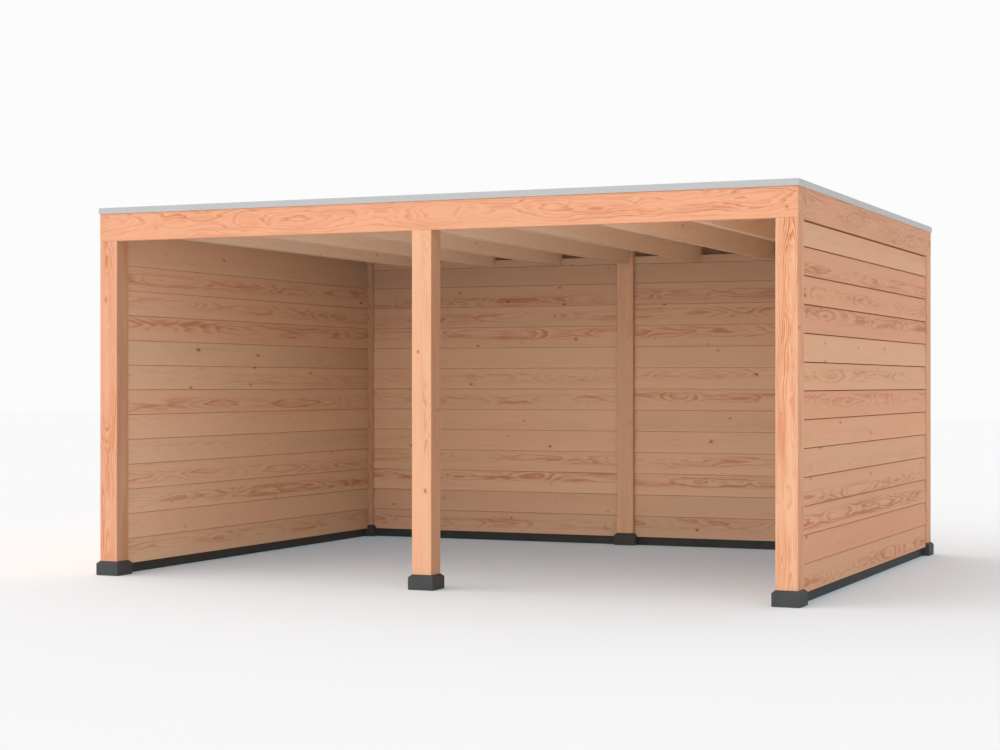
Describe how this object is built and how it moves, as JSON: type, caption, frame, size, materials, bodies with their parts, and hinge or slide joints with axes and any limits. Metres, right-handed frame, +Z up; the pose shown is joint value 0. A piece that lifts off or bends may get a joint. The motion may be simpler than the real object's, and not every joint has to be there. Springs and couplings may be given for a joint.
{
  "type": "garden canopy",
  "caption": "Flat-roofed wooden garden canopy: square posts on dark feet, ring beam and joists, lapped boards on the back and ends, and an open front.",
  "frame": {"origin": "middle of the plan, on the ground under the feet", "axes": "+X along the long side towards the right seen from the open front, +Y from the open front to the back wall, +Z up"},
  "size_m": [5.04, 4.04, 2.568],
  "materials": {
    "frame_timber": "planed, untreated softwood",
    "wall_boards": "planed, untreated softwood",
    "roof_timber": "planed, untreated softwood",
    "feet": "fine cast, anthracite",
    "plinth": "fine cast, anthracite",
    "roof_trim": "mill finish, satin",
    "roof_sheet": "matte"
  },
  "bodies": {
    "root": {"front_left_foot": "feet", "front_middle_foot": "feet", "front_right_foot": "feet", "rear_left_foot": "feet", "rear_middle_foot": "feet", "rear_right_foot": "feet", "front_left_post": "frame_timber", "front_middle_post": "frame_timber", "front_right_post": "frame_timber", "rear_left_post": "frame_timber", "rear_middle_post": "frame_timber", "rear_right_post": "frame_timber", "left_plinth": "plinth", "right_plinth": "plinth", "back_left_plinth": "plinth", "back_right_plinth": "plinth", "left_wall": "wall_boards", "right_wall": "wall_boards", "back_left_wall": "wall_boards", "back_right_wall": "wall_boards", "left_top_board": "wall_boards", "right_top_board": "wall_boards", "back_top_boards": "wall_boards", "front_beam": "frame_timber", "back_beam": "frame_timber", "left_beam": "frame_timber", "right_beam": "frame_timber", "joist_1": "roof_timber", "joist_2": "roof_timber", "joist_3": "roof_timber", "joist_4": "roof_timber", "joist_5": "roof_timber", "joist_6": "roof_timber", "joist_7": "roof_timber", "roof_boards": "roof_timber", "roof_sheet": "roof_sheet", "front_trim": "roof_trim", "back_trim": "roof_trim", "left_trim": "roof_trim", "right_trim": "roof_trim"}
  },
  "joints": []
}
